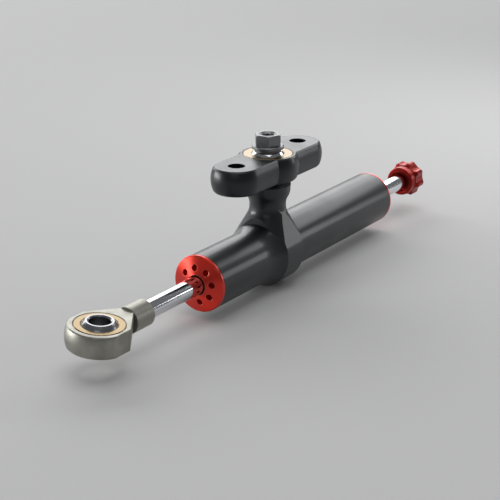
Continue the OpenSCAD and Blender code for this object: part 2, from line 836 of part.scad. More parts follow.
module mount_washer() {
    color(dark_steel) translate([0, 0, land_z]) ring(bolt_d / 2 + fit, washer_d / 2, washer_t);
}
// A collared hexagon bolt with a socket in its head
module mount_bolt() {
    hex_corner = bolt_hex / 2 / cos(30);
    socket_corner = bolt_socket / 2 / cos(30);
    hex_top = bolt_collar_t + bolt_hex_h;
    collar_edge = bolt_collar_d / 2;
    shank_length = head_z - seat_z + bolt_grip;
    dish_spread = (bolt_dish_d - bolt_socket) / bolt_dish_depth;
    color(dark_steel) translate([0, 0, head_z]) difference() {
        union() {
            rotate_extrude() polygon([
                [0, 0],
                [collar_edge, 0],
                [collar_edge, bolt_collar_t - bolt_collar_bevel],
                [collar_edge - bolt_collar_bevel, bolt_collar_t],
                [0, bolt_collar_t]
            ]);
            intersection() {
                rotate(bolt_turn) cylinder(r = hex_corner, h = hex_top, $fn = 6);
                cylinder(r1 = bolt_hex / 2 + hex_top / tan(30), r2 = bolt_hex / 2, h = hex_top);
            }
            translate([0, 0, -shank_length]) cylinder(d = bolt_d, h = shank_length);
        }
        translate([0, 0, hex_top - bolt_socket_depth]) rotate(bolt_turn)
            cylinder(r = socket_corner, h = bolt_socket_depth + overrun, $fn = 6);
        translate([0, 0, hex_top - bolt_dish_depth - overrun])
            cylinder(d1 = bolt_socket - dish_spread * overrun, d2 = bolt_dish_d + dish_spread * overrun,
                h = bolt_dish_depth + 2 * overrun);
    }
}

damper_body();
front_cap();
rear_cap();
front_bush();
rear_bush();
front_rod_seal();
rear_rod_seal();
front_wiper();
rear_wiper();
gland_clips();
front_cap_ring();
rear_cap_ring();
piston();
piston_ring();
piston_rod();
piston_clips();
rod_end();
eye_race();
eye_ball();
adjuster_needle();
needle_ring();
knob();
knob_screw();
detent_plunger();
mount_flange();
mount_race();
mount_ball();
mount_washer();
mount_bolt();
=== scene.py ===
# %% [markdown]
# # A motorcycle steering damper
# A steering damper is a tube of oil with a rod right through it. A ball joint on the front of the rod and
# a flange that swivels on a post tie it between the frame and the fork, and a red knob sets how stiff it
# is. The solids come ready made and exact, so this lesson is about their finish: anodised aluminium, hard
# chrome, nickel plate, bronze and polished steel, in the soft light of a studio.

# %% Load the solids
import bpy
from math import cos, pi, radians, sin
from mathutils import Matrix, Vector


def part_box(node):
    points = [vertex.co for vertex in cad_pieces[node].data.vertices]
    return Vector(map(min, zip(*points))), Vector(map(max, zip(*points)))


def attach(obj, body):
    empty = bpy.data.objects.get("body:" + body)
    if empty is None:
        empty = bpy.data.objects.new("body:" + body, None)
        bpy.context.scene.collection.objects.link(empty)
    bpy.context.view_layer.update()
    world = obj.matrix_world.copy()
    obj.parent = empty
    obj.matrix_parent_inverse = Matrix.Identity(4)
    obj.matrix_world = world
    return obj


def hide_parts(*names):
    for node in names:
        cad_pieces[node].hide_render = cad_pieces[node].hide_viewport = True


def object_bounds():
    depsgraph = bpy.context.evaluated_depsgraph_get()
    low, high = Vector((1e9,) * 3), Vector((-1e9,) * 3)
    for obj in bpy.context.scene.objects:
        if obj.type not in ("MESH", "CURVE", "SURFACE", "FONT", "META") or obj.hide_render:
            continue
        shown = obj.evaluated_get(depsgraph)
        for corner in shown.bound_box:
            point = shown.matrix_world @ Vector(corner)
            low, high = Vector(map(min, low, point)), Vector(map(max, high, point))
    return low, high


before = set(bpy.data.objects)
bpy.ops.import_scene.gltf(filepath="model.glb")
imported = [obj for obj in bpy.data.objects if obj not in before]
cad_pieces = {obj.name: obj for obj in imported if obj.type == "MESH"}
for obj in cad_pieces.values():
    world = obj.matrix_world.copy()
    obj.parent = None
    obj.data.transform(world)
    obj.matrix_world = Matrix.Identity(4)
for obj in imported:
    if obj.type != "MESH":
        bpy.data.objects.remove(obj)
cad_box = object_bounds()
mm = 0.001

# %% [markdown]
# ## Camera
# The picture is taken from the front left and a little above, with a long lens, so the tube hardly
# tapers. A camera can be aimed with a Track To constraint, but here the angles are known, so its three
# axes are worked out from the azimuth and the elevation and put in its matrix.

# %% Place the camera
picture_width = 500
focal_pixels = 1527.33
view_azimuth = radians(56.989)
view_elevation = radians(19.079)
camera_place = Vector((-613.66, -388.20, 200.56)) * mm

forward = Vector((
    sin(view_azimuth) * cos(view_elevation), cos(view_azimuth) * cos(view_elevation), -sin(view_elevation)))
right = forward.cross(Vector((0, 0, 1))).normalized()
upward = right.cross(forward)
lens = bpy.data.cameras.new("long_lens")
lens.sensor_width = 36
lens.lens = lens.sensor_width * focal_pixels / picture_width
lens.clip_start = 10 * mm
camera = bpy.data.objects.new("camera", lens)
camera.matrix_world = Matrix((right, upward, -forward)).transposed().to_4x4()
camera.matrix_world.translation = camera_place
bpy.context.scene.collection.objects.link(camera)
bpy.context.scene.camera = camera
print("lens of", round(lens.lens, 1), "mm,", round(camera_place.length / mm), "mm from the flange")

# %% [markdown]
# ## Helpers for materials
# Every material is a small network of nodes. It could be wired by hand in the Shader Editor, but a script
# can be read and run again. One function adds a node, sets its options and joins its inputs, and another
# turns a colour, written as sRGB hex, into the linear values that light needs.

# %% Colours and nodes
def linear(chip):
    """The linear red, green, blue and alpha of a colour in sRGB hex."""
    parts = [int(chip[i:i + 2], 16) / 255 for i in (1, 3, 5)]
    return tuple(c / 12.92 if c <= 0.04045 else ((c + 0.055) / 1.055) ** 2.4 for c in parts) + (1.0,)


def add(tree, kind, options=None, inputs=None):
    """Adds a node. An input is a value, or the output socket of another node."""
    made = tree.nodes.new(kind)
    for name, value in (options or {}).items():
        setattr(made, name, value)
    for name, value in (inputs or {}).items():
        socket = made.inputs[name]
        if isinstance(value, bpy.types.NodeSocket):
            tree.links.new(value, socket)
        else:
            socket.default_value = value
    return made


print("middle grey #808080 is", round(linear("#808080")[0], 3), "in linear light")

# %% Start a finish, end it and put it on
def start_finish(name):
    """A new material with an empty network, and the place of each point in metres."""
    finish = bpy.data.materials.new(name)
    finish.use_nodes = True
    tree = finish.node_tree
    tree.nodes.clear()
    place = add(tree, "ShaderNodeTexCoord").outputs["Object"]
    return finish, tree, place


def end_finish(tree, shader):
    add(tree, "ShaderNodeOutputMaterial", inputs={"Surface": shader.outputs["BSDF"]})


def put_on(finish, *names):
    for name in names:
        for slot in cad_pieces[name].material_slots:
            slot.material = finish
    print(finish.name, "on", ", ".join(names))


print(len(bpy.data.materials), "plain materials to replace")

# %% [markdown]
# ## Black anodised aluminium
# The body and the flange are machined from the solid, anodised and dyed black. They could be shaded as a
# dark metal, but the dyed oxide skin is a clear ceramic over a dark ground, so it is a dielectric here:
# it stays black and reflects white light, a trace blue, in broad, soft bands. Sealing leaves a smoother,
# clear surface on the rougher dyed skin, so a thin coat adds a tighter core to each band. The body is
# only brushed before it is dyed, and the flange is blasted with glass beads, so it has a coarser grain
# that sparkles on its flat top. A second, wide noise varies the gloss as handling does. The edges get a
# painted highlight, for the light they catch: a Bevel node rounds the normal there, and where it departs
# from the true normal, the colour is made paler.

# %% Edges with a painted highlight
edge_break = 0.3 * mm


def edges_with_painted_highlight(tree, shade, highlight_chip):
    """The normal rounded at the edges, and a painted highlight there: the colour made paler."""
    rounded = add(tree, "ShaderNodeBevel", {"samples": 6}, {"Radius": edge_break}).outputs["Normal"]
    true_normal = add(tree, "ShaderNodeNewGeometry").outputs["Normal"]
    likeness = add(tree, "ShaderNodeVectorMath", {"operation": "DOT_PRODUCT"}, {0: rounded, 1: true_normal})
    # Painted highlight: the further the rounded normal turns from the true one, the paler the colour
    painted_edge_highlight = add(tree, "ShaderNodeMapRange", inputs={
        "Value": likeness.outputs["Value"], "From Min": 0.99, "From Max": 0.85,
        "To Min": 0.0, "To Max": 0.5})
    dye_and_edge_highlight = add(tree, "ShaderNodeMix", {"data_type": "RGBA"}, {
        "Factor": painted_edge_highlight.outputs["Result"], "A": shade.outputs["Result"], "B": linear(highlight_chip)})
    return rounded, dye_and_edge_highlight.outputs["Result"]


print("edges rounded by", round(edge_break / mm, 2), "mm")

# %% Black anodised aluminium
handled_patch = 14 * mm
# Nearly all values of a noise lie between these two
noise_range = {"From Min": 0.3, "From Max": 0.7}


def black_anodised(name, grain_mm, relief, smoothest, roughest, seal):
    finish, tree, place = start_finish(name)
    # Grit of about 0.1 mm is too fine to show, so the grain is drawn several times as coarse
    grain = add(tree, "ShaderNodeTexNoise", inputs={
        "Vector": place, "Scale": 1 / (grain_mm * mm), "Detail": 2.0})
    patches = add(tree, "ShaderNodeTexNoise", inputs={
        "Vector": place, "Scale": 1 / handled_patch, "Detail": 3.0})
    gloss = add(tree, "ShaderNodeMapRange", inputs={
        "Value": patches.outputs["Fac"], **noise_range, "To Min": smoothest, "To Max": roughest})
    shade = add(tree, "ShaderNodeMix", {"data_type": "RGBA"}, {
        "Factor": grain.outputs["Fac"], "A": linear("#070708"), "B": linear("#111214")})
    # Painted highlight: the edges are made paler, dark grey on the black
    rounded, dye_and_edge_highlight = edges_with_painted_highlight(tree, shade, "#3c3d40")
    bumps = add(tree, "ShaderNodeBump", inputs={
        "Height": grain.outputs["Fac"], "Strength": relief, "Distance": 0.05 * mm, "Normal": rounded})
    shader = add(tree, "ShaderNodeBsdfPrincipled", inputs={
        "Base Color": dye_and_edge_highlight, "Roughness": gloss.outputs["Result"], "IOR": 1.5,
        "Specular Tint": linear("#e9eff7"), "Coat Weight": seal, "Coat Roughness": 0.22, "Coat IOR": 1.5,
        "Normal": bumps.outputs["Normal"]})
    end_finish(tree, shader)
    return finish


brushed_black = black_anodised(
    "black_anodised_brushed_aluminium", grain_mm=0.35, relief=0.05, smoothest=0.46, roughest=0.54, seal=0.5)
blasted_black = black_anodised(
    "black_anodised_blasted_aluminium", grain_mm=0.55, relief=0.3, smoothest=0.34, roughest=0.42, seal=0.2)
put_on(brushed_black, "damper_body")
put_on(blasted_black, "mount_flange")

# %% [markdown]
# ## Red anodised aluminium
# On the caps and the knob the metal shows through clear, red-dyed oxide. A glossy red paint would look like
# plastic, so this is shaded as a metal with a red reflection, under a thin clear coat that reflects
# white. The caps keep the bright lines of the lathe, which run round the rod and spread each highlight
# across them: that gives the fan of light on a turned face. The knob is tumbled, so it has no spread,
# and its red is painted deeper, a painted shade. On both the edges get a pale painted highlight. Blender
# spreads an anisotropic highlight along a tangent, so the tangent has to lie across the lines: it is the
# cross product of the surface's normal and the direction of the lines, which in turn is the cross
# product of the rod's axis and the arm from it.

# %% Directions about the rod
axis_height = -50 * mm


def arm_from_rod(tree, place):
    """The arm to each point from the rod's axis, where that passes the origin."""
    arm = add(tree, "ShaderNodeVectorMath", {"operation": "SUBTRACT"}, {0: place, 1: (0, 0, axis_height)})
    return arm.outputs["Vector"]


def across_the_lines(tree, place):
    """The direction across a lathe's lines, on a piece that was turned about the rod's axis."""
    arm = arm_from_rod(tree, place)
    lines = add(tree, "ShaderNodeVectorMath", {"operation": "CROSS_PRODUCT"}, {0: (1, 0, 0), 1: arm})
    normal = add(tree, "ShaderNodeNewGeometry").outputs["Normal"]
    across = add(tree, "ShaderNodeVectorMath", {"operation": "CROSS_PRODUCT"}, {
        0: normal, 1: lines.outputs["Vector"]})
    unit = add(tree, "ShaderNodeVectorMath", {"operation": "NORMALIZE"}, {0: across.outputs["Vector"]})
    return unit.outputs["Vector"]


def distance_from_rod(tree, place):
    """How far each point is from the rod's axis, for rings on a turned face."""
    arm = arm_from_rod(tree, place)
    flat = add(tree, "ShaderNodeVectorMath", {"operation": "MULTIPLY"}, {0: arm, 1: (0, 1, 1)})
    reach = add(tree, "ShaderNodeVectorMath", {"operation": "LENGTH"}, {0: flat.outputs["Vector"]})
    return reach.outputs["Value"]


print("the rod's axis is", round(-axis_height / mm), "mm under the top of the flange")

# %% Red anodised aluminium
def red_anodised(name, deep, bright, lathe_spread, seal):
    finish, tree, place = start_finish(name)
    # Lathe lines 0.08 mm apart are too fine to show, so they are drawn 0.4 mm apart
    line_pitch = 0.4 * mm
    reach = add(tree, "ShaderNodeCombineXYZ", inputs={"X": distance_from_rod(tree, place)})
    lines = add(tree, "ShaderNodeTexNoise", inputs={
        "Vector": reach.outputs["Vector"], "Scale": 1 / line_pitch, "Detail": 2.0})
    shade = add(tree, "ShaderNodeMix", {"data_type": "RGBA"}, {
        "Factor": lines.outputs["Fac"], "A": linear(deep), "B": linear(bright)})
    # Painted highlight: the edges are made pale pink
    rounded, dye_and_edge_highlight = edges_with_painted_highlight(tree, shade, "#ffc4b0")
    cut = add(tree, "ShaderNodeBump", inputs={
        "Height": lines.outputs["Fac"], "Strength": 0.08, "Distance": 0.03 * mm, "Normal": rounded})
    shader = add(tree, "ShaderNodeBsdfPrincipled", inputs={
        "Base Color": dye_and_edge_highlight, "Metallic": 1.0, "Roughness": 0.4, "Anisotropic": lathe_spread,
        "Tangent": across_the_lines(tree, place), "Normal": cut.outputs["Normal"],
        "Coat Weight": seal, "Coat Roughness": 0.22, "Coat IOR": 1.6})
    end_finish(tree, shader)
    return finish


turned_red = red_anodised(
    "red_anodised_turned_aluminium", deep="#cc1f11", bright="#f2371f", lathe_spread=0.78, seal=0.55)
put_on(turned_red, "front_cap", "rear_cap")

# %% [markdown]
# ## The adjuster knob
# The real knob is turned, eight scallops are milled round its grip, and it is tumbled until every edge is
# round. It could be cut with booleans and bevelled, but its shape follows a rule, so Geometry Nodes make
# it. A lathe profile has its corners rounded and is swept round a circle. Then each point of the grip is
# drawn in to the nearest scallop by a smooth minimum, which rounds the tips of the lobes as tumbling
# does, and last a hole is drilled for the plunger that keeps the knob on the rod.

# %% Lathe profile of the knob
knob_low, knob_high = (Vector(corner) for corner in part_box("knob"))
knob_length = (knob_high.x - knob_low.x) / mm
hub_radius, hub_root, hub_length, hub_edge = 8.0, 8.1, 4.8, 0.5
grip_radius, grip_edge = 9.8, 1.2
mouth_radius, mouth_depth = 5.7, 2.2
rod_hole, rod_depth = 4.55, 9.0
recess_radius, recess_depth, stub_hole = 3.3, 2.0, 1.63
# Each point is a radius and a distance from the face of the hub, in millimetres
lathe_points = [
    (mouth_radius, 0), (hub_radius - hub_edge, 0), (hub_radius, hub_edge), (hub_root, hub_length),
    (grip_radius - grip_edge, hub_length), (grip_radius, hub_length + grip_edge),
    (grip_radius, knob_length - grip_edge), (grip_radius - grip_edge, knob_length),
    (recess_radius, knob_length), (recess_radius, knob_length - recess_depth),
    (stub_hole, knob_length - recess_depth), (stub_hole, rod_depth), (rod_hole, rod_depth),
    (rod_hole, mouth_depth), (mouth_radius, mouth_depth)]
# A sweep turns a profile's X outwards and its Y down, seen from the middle of the circle
sweep_radius = 10.0
profile = bpy.data.meshes.new("lathe_profile")
count = len(lathe_points)
profile.from_pydata([((r - sweep_radius) * mm, -along * mm, 0) for r, along in reversed(lathe_points)],
                    [(i, (i + 1) % count) for i in range(count)], [])
print("knob of", round(knob_length, 1), "mm from a profile of", count, "points")

# %% Start the knob's rule with its inputs
rule = bpy.data.node_groups.new("scalloped_sweep", "GeometryNodeTree")
rule.interface.new_socket("Profile", in_out="INPUT", socket_type="NodeSocketGeometry")
for length_or_angle in (
        "Sweep radius", "Edge radius", "Scallop centre", "Scallop radius", "First scallop", "Tip softness",
        "Grip start", "Hole radius", "Hole turn", "Hole height"):
    rule.interface.new_socket(length_or_angle, in_out="INPUT", socket_type="NodeSocketFloat")
rule.interface.new_socket("Lobes", in_out="INPUT", socket_type="NodeSocketInt")
rule.interface.new_socket("Place", in_out="INPUT", socket_type="NodeSocketVector")
rule.interface.new_socket("Finish", in_out="INPUT", socket_type="NodeSocketMaterial")
rule.interface.new_socket("Knob", in_out="OUTPUT", socket_type="NodeSocketGeometry")
size = add(rule, "NodeGroupInput").outputs
print("rule with", len(rule.interface.items_tree), "sockets")

# %% Sweep the profile round the circle
edge_steps = 4
sweep_steps = 256
outline = add(rule, "GeometryNodeMeshToCurve", inputs={"Mesh": size["Profile"]})
rounded_outline = add(rule, "GeometryNodeFilletCurve", {"mode": "POLY"}, {
    "Curve": outline.outputs["Curve"], "Count": edge_steps, "Radius": size["Edge radius"],
    "Limit Radius": True})
circle = add(rule, "GeometryNodeCurvePrimitiveCircle", inputs={
    "Radius": size["Sweep radius"], "Resolution": sweep_steps})
turned = add(rule, "GeometryNodeCurveToMesh", inputs={
    "Curve": circle.outputs["Curve"], "Profile Curve": rounded_outline.outputs["Curve"]})
print("sweep of", sweep_steps, "steps")

# %% Find the angle from the middle of the nearest scallop
point = add(rule, "GeometryNodeInputPosition").outputs["Position"]
part = add(rule, "ShaderNodeSeparateXYZ", inputs={"Vector": point}).outputs
turn = add(rule, "ShaderNodeMath", {"operation": "ARCTAN2"}, {0: part["Y"], 1: part["X"]})
since_first = add(rule, "ShaderNodeMath", {"operation": "SUBTRACT"}, {
    0: turn.outputs[0], 1: size["First scallop"]})
half_step = add(rule, "ShaderNodeMath", {"operation": "DIVIDE"}, {0: pi, 1: size["Lobes"]})
half_back = add(rule, "ShaderNodeMath", {"operation": "MULTIPLY"}, {0: half_step.outputs[0], 1: -1.0})
nearest = add(rule, "ShaderNodeMath", {"operation": "WRAP"}, {
    0: since_first.outputs[0], 1: half_step.outputs[0], 2: half_back.outputs[0]})
print(len(rule.nodes), "nodes, up to the nearest scallop")

# %% Find how far out the scallop's round floor lies at that angle
sine = add(rule, "ShaderNodeMath", {"operation": "SINE"}, {0: nearest.outputs[0]})
cosine = add(rule, "ShaderNodeMath", {"operation": "COSINE"}, {0: nearest.outputs[0]})
aside = add(rule, "ShaderNodeMath", {"operation": "MULTIPLY"}, {
    0: sine.outputs[0], 1: size["Scallop centre"]})
outwards = add(rule, "ShaderNodeMath", {"operation": "MULTIPLY"}, {
    0: cosine.outputs[0], 1: size["Scallop centre"]})
aside_squared = add(rule, "ShaderNodeMath", {"operation": "MULTIPLY"}, {
    0: aside.outputs[0], 1: aside.outputs[0]})
radius_squared = add(rule, "ShaderNodeMath", {"operation": "MULTIPLY"}, {
    0: size["Scallop radius"], 1: size["Scallop radius"]})
left_over = add(rule, "ShaderNodeMath", {"operation": "SUBTRACT"}, {
    0: radius_squared.outputs[0], 1: aside_squared.outputs[0]})
not_negative = add(rule, "ShaderNodeMath", {"operation": "MAXIMUM"}, {0: left_over.outputs[0], 1: 0.0})
half_chord = add(rule, "ShaderNodeMath", {"operation": "SQRT"}, {0: not_negative.outputs[0]})
limit = add(rule, "ShaderNodeMath", {"operation": "SUBTRACT"}, {
    0: outwards.outputs[0], 1: half_chord.outputs[0]})
print(len(rule.nodes), "nodes, up to the scallop's floor")

# %% Draw each point of the grip in to that limit
flat_point = add(rule, "ShaderNodeVectorMath", {"operation": "MULTIPLY"}, {0: point, 1: (1, 1, 0)})
reach = add(rule, "ShaderNodeVectorMath", {"operation": "LENGTH"}, {0: flat_point.outputs["Vector"]})
drawn_in = add(rule, "ShaderNodeMath", {"operation": "SMOOTH_MIN"}, {
    0: reach.outputs["Value"], 1: limit.outputs[0], 2: size["Tip softness"]})
share = add(rule, "ShaderNodeMath", {"operation": "DIVIDE"}, {
    0: drawn_in.outputs[0], 1: reach.outputs["Value"]})
shares = add(rule, "ShaderNodeCombineXYZ", inputs={"X": share.outputs[0], "Y": share.outputs[0], "Z": 1.0})
moved = add(rule, "ShaderNodeVectorMath", {"operation": "MULTIPLY"}, {
    0: point, 1: shares.outputs["Vector"]})
on_grip = add(rule, "FunctionNodeCompare", {"data_type": "FLOAT", "operation": "GREATER_THAN"}, {
    0: part["Z"], 1: size["Grip start"]})
lobed = add(rule, "GeometryNodeSetPosition", inputs={
    "Geometry": turned.outputs["Mesh"], "Selection": on_grip.outputs["Result"],
    "Position": moved.outputs["Vector"]})
print(len(rule.nodes), "nodes, up to the lobes")

# %% Drill the hole for the plunger, from the rod outwards
quarter_turn = (0, pi / 2, 0)
drill = add(rule, "GeometryNodeMeshCylinder", inputs={
    "Vertices": 32, "Radius": size["Hole radius"], "Depth": size["Sweep radius"]})
drill_place = add(rule, "ShaderNodeCombineXYZ", inputs={
    "X": size["Sweep radius"], "Z": size["Hole height"]})
laid_drill = add(rule, "GeometryNodeTransform", inputs={
    "Geometry": drill.outputs["Mesh"], "Rotation": quarter_turn,
    "Translation": drill_place.outputs["Vector"]})
drill_turn = add(rule, "ShaderNodeCombineXYZ", inputs={"Z": size["Hole turn"]})
aimed_drill = add(rule, "GeometryNodeTransform", inputs={
    "Geometry": laid_drill.outputs["Geometry"], "Rotation": drill_turn.outputs["Vector"]})
drilled = add(rule, "GeometryNodeMeshBoolean", {"operation": "DIFFERENCE"}, {
    "Mesh 1": lobed.outputs["Geometry"], "Mesh 2": aimed_drill.outputs["Geometry"]})
print(len(rule.nodes), "nodes, up to the hole")

# %% Lay the knob along the rod and end its rule
laid_knob = add(rule, "GeometryNodeTransform", inputs={
    "Geometry": drilled.outputs["Mesh"], "Rotation": quarter_turn, "Translation": size["Place"]})
real = add(rule, "GeometryNodeRealizeInstances", inputs={"Geometry": laid_knob.outputs["Geometry"]})
dressed = add(rule, "GeometryNodeSetMaterial", inputs={
    "Geometry": real.outputs["Geometry"], "Material": size["Finish"]})
add(rule, "NodeGroupOutput", inputs={"Knob": dressed.outputs["Geometry"]})
print("rule of", len(rule.nodes), "nodes")

# %% Sizes of the knob
lobes, scallop_depth, scallop_radius = 8, 1.6, 4.0
lobe_turn = radians(14.5)
past_hub = 0.1
# The plunger's hole lies midway from hub to rod's end, in the scallop a quarter turn from the first
plunger_height = (hub_length + rod_depth) / 2
plunger_turn = lobe_turn + (lobes // 4 + 0.5) * 2 * pi / lobes
# The knob's red is the caps' red painted deeper, a painted shade
tumbled_red_painted_deeper = red_anodised(
    "red_anodised_tumbled_aluminium", deep="#7f0f0c", bright="#9c1d15", lathe_spread=0.0, seal=0.2)
knob_sizes = {
    "Sweep radius": sweep_radius * mm, "Edge radius": 0.45 * mm, "Lobes": lobes,
    "Scallop centre": (grip_radius - scallop_depth + scallop_radius) * mm,
    "Scallop radius": scallop_radius * mm, "First scallop": lobe_turn + pi / lobes,
    "Tip softness": 0.7 * mm, "Grip start": (hub_length + past_hub) * mm,
    "Hole radius": 1.53 * mm, "Hole turn": plunger_turn, "Hole height": plunger_height * mm,
    "Place": (knob_low.x, 0, axis_height), "Finish": tumbled_red_painted_deeper}
print(lobes, "lobes, hole", round(plunger_height, 1), "mm from the hub's face")

# %% Make the knob
crease = radians(40)


def grown(name, seed_mesh, tree, sizes):
    """The plain mesh that a tree of Geometry Nodes makes from a seed mesh."""
    seed = bpy.data.objects.new(name, seed_mesh)
    bpy.context.scene.collection.objects.link(seed)
    modifier = seed.modifiers.new("rule", "NODES")
    modifier.node_group = tree
    for socket in tree.interface.items_tree:
        if socket.name in sizes:
            modifier[socket.identifier] = sizes[socket.name]
    made = bpy.data.meshes.new_from_object(seed.evaluated_get(bpy.context.evaluated_depsgraph_get()))
    bpy.data.objects.remove(seed)
    return made


knob_mesh = grown("knob_seed", profile, rule, knob_sizes)
knob_mesh.shade_smooth()
knob_mesh.set_sharp_from_angle(angle=crease)
knob = bpy.data.objects.new("adjuster_knob", knob_mesh)
bpy.context.scene.collection.objects.link(knob)
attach(knob, "adjuster")
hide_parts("knob")
print("knob of", len(knob_mesh.polygons), "faces,", len(knob_mesh.materials), "material")

# %% [markdown]
# ## Hard chrome
# The rod is ground and then plated with hard chrome, the hardest and brightest surface here. A perfect
# mirror would look computed, so it is a metal with a very low roughness, and the grinding wheel leaves
# faint rings round it that blur reflections along the rod. A noise that is squeezed along the rod and
# drawn out round it gives them.

# %% Hard chrome
def hard_chrome():
    finish, tree, place = start_finish("hard_chrome_ground_steel")
    # Grinding rings 0.05 mm apart are drawn 0.5 mm apart
    ring_pitch, drawn_out = 0.5 * mm, (1, 0.02, 0.02)
    round_the_rod = add(tree, "ShaderNodeVectorMath", {"operation": "MULTIPLY"}, {0: place, 1: drawn_out})
    rings = add(tree, "ShaderNodeTexNoise", inputs={
        "Vector": round_the_rod.outputs["Vector"], "Scale": 1 / ring_pitch, "Detail": 3.0})
    gloss = add(tree, "ShaderNodeMapRange", inputs={
        "Value": rings.outputs["Fac"], **noise_range, "To Min": 0.05, "To Max": 0.11})
    edges = add(tree, "ShaderNodeBevel", {"samples": 6}, {"Radius": edge_break})
    shader = add(tree, "ShaderNodeBsdfPrincipled", inputs={
        "Base Color": linear("#dfe2e6"), "Metallic": 1.0, "Roughness": gloss.outputs["Result"],
        "Anisotropic": 0.3, "Tangent": across_the_lines(tree, place), "Normal": edges.outputs["Normal"]})
    end_finish(tree, shader)
    return finish


put_on(hard_chrome(), "piston_rod")

# %% [markdown]
# ## Satin nickel plate
# The rod end is forged, machined and plated in satin nickel, which is warmer than chrome and scatters
# light over a wide lobe. One roughness all over would look like paint, so a fine noise stands for the
# grain of the plate and a coarse one for the slight stain on it. The round shank keeps the lines of the
# lathe under its plate, so there a noise along the rod takes their place, as far as the shoulder of the
# head.

# %% Satin nickel plate
def centre_of(name):
    low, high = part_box(name)
    return (Vector(low) + Vector(high)) / 2


shoulder_reach, shoulder_fade = 19.5 * mm, 1 * mm
shoulder = centre_of("eye_race").x + shoulder_reach


def satin_nickel():
    finish, tree, place = start_finish("satin_nickel_plated_steel")
    # The plate's grain of about 0.05 mm is drawn at 0.3 mm, and the shank's lathe lines of 0.1 mm at 0.5 mm
    plate_grain, stain_width, line_pitch = 0.3 * mm, 9 * mm, 0.5 * mm
    grain = add(tree, "ShaderNodeTexNoise", inputs={
        "Vector": place, "Scale": 1 / plate_grain, "Detail": 3.0})
    stain = add(tree, "ShaderNodeTexNoise", inputs={
        "Vector": place, "Scale": 1 / stain_width, "Detail": 3.0})
    along = add(tree, "ShaderNodeSeparateXYZ", inputs={"Vector": place}).outputs["X"]
    along_only = add(tree, "ShaderNodeCombineXYZ", inputs={"X": along})
    lines = add(tree, "ShaderNodeTexNoise", inputs={
        "Vector": along_only.outputs["Vector"], "Scale": 1 / line_pitch, "Detail": 1.0})
    on_shank = add(tree, "ShaderNodeMapRange", inputs={
        "Value": along, "From Min": shoulder - shoulder_fade, "From Max": shoulder}).outputs["Result"]
    mark = add(tree, "ShaderNodeMix", {"data_type": "FLOAT"}, {
        "Factor": on_shank, "A": stain.outputs["Fac"], "B": lines.outputs["Fac"]})
    contrast = add(tree, "ShaderNodeMapRange", inputs={"Value": mark.outputs["Result"], **noise_range})
    plate = add(tree, "ShaderNodeMix", {"data_type": "RGBA"}, {
        "Factor": contrast.outputs["Result"], "A": linear("#8a8981"), "B": linear("#a6a59c")})
    gloss = add(tree, "ShaderNodeMapRange", inputs={
        "Value": grain.outputs["Fac"], **noise_range, "To Min": 0.38, "To Max": 0.48})
    edges = add(tree, "ShaderNodeBevel", {"samples": 6}, {"Radius": edge_break})
    cut = add(tree, "ShaderNodeMix", {"data_type": "FLOAT"}, {
        "Factor": on_shank, "A": grain.outputs["Fac"], "B": lines.outputs["Fac"]})
    relief = add(tree, "ShaderNodeBump", inputs={
        "Height": cut.outputs["Result"], "Strength": 0.15, "Distance": 0.05 * mm,
        "Normal": edges.outputs["Normal"]})
    shader = add(tree, "ShaderNodeBsdfPrincipled", inputs={
        "Base Color": plate.outputs["Result"], "Metallic": 1.0, "Roughness": gloss.outputs["Result"],
        "Normal": relief.outputs["Normal"]})
    end_finish(tree, shader)
    return finish


put_on(satin_nickel(), "rod_end")

# %% [markdown]
# ## Bearing bronze
# Each ball sits in a liner of bearing bronze, turned to size. It is a warm, pale gold metal, and the
# turning shows as fine rings about the ball's own axis. A wave texture could draw them, but too evenly,
# so they are a noise of the distance from that axis, and a Mapping node centres it on the ball and turns
# it with the eye. The bushes of the rod are the same bronze, with rings about the rod.

# %% Bearing bronze
def bearing_bronze(name, centre, tilt):
    finish, tree, place = start_finish(name)
    local = add(tree, "ShaderNodeMapping", {"vector_type": "TEXTURE"}, {
        "Vector": place, "Location": centre, "Rotation": tilt})
    flat = add(tree, "ShaderNodeVectorMath", {"operation": "MULTIPLY"}, {
        0: local.outputs["Vector"], 1: (1, 1, 0)})
    reach = add(tree, "ShaderNodeVectorMath", {"operation": "LENGTH"}, {0: flat.outputs["Vector"]})
    reach_only = add(tree, "ShaderNodeCombineXYZ", inputs={"X": reach.outputs["Value"]})
    # Turning marks 0.1 mm apart are drawn 0.35 mm apart
    ring_pitch = 0.35 * mm
    rings = add(tree, "ShaderNodeTexNoise", inputs={
        "Vector": reach_only.outputs["Vector"], "Scale": 1 / ring_pitch, "Detail": 2.0})
    metal = add(tree, "ShaderNodeMix", {"data_type": "RGBA"}, {
        "Factor": rings.outputs["Fac"], "A": linear("#766344"), "B": linear("#937f5c")})
    edges = add(tree, "ShaderNodeBevel", {"samples": 4}, {"Radius": edge_break / 2})
    cut = add(tree, "ShaderNodeBump", inputs={
        "Height": rings.outputs["Fac"], "Strength": 0.1, "Distance": 0.03 * mm,
        "Normal": edges.outputs["Normal"]})
    shader = add(tree, "ShaderNodeBsdfPrincipled", inputs={
        "Base Color": metal.outputs["Result"], "Metallic": 1.0, "Roughness": 0.27,
        "Normal": cut.outputs["Normal"]})
    end_finish(tree, shader)
    return finish


eye_roll = radians(5.5)
eye_bronze = bearing_bronze("turned_bronze_of_the_eye", centre_of("eye_race"), tilt=(eye_roll, 0, 0))
flange_bronze = bearing_bronze("turned_bronze_of_the_flange", centre_of("mount_race"), tilt=(0, 0, 0))
bush_bronze = bearing_bronze("turned_bronze_of_the_bushes", (0, 0, axis_height), tilt=quarter_turn)
put_on(eye_bronze, "eye_race")
put_on(flange_bronze, "mount_race")
put_on(bush_bronze, "front_bush", "rear_bush")

# %% [markdown]
# ## Bearing steel
# Both balls are hardened steel. The one in the flange is lapped until it mirrors the room. The one in the
# eye is only ground, so it is darker and its mirror is blurred. One roughness would do from afar, but a
# trace of noise in the gloss keeps either from looking computed.

# %% Bearing steel
haze_width = 4 * mm


